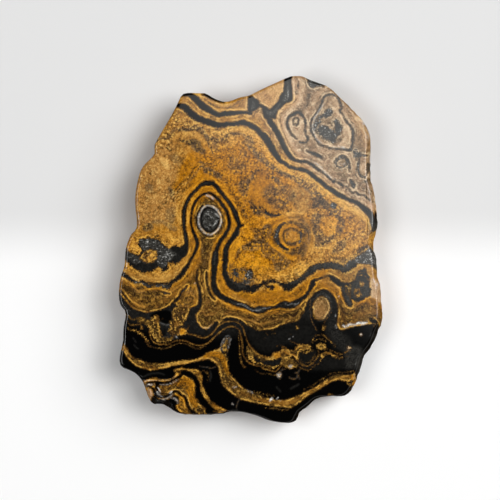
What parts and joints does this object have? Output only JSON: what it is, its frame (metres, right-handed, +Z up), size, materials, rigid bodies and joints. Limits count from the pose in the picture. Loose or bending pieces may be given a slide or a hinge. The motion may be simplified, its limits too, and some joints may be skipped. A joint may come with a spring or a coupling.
{
  "type": "stromatolite slab",
  "caption": "Polished slab of banded stromatolite: flat polished face, sawn flat back and a natural fluted wall, to lie on a shelf or table for display.",
  "frame": {"origin": "on the surface the slab lies on, below the middle of its bounding box", "axes": "+Z up out of the polished face, +Y along the slab's long way towards its crest, +X across its short way"},
  "size_m": [0.091, 0.1198, 0.016],
  "materials": {
    "polished_stone": "polished ochre and black banded stone, matte on the sawn back and the natural wall"
  },
  "bodies": {
    "root": {"stromatolite_slab": "polished_stone"}
  },
  "joints": []
}
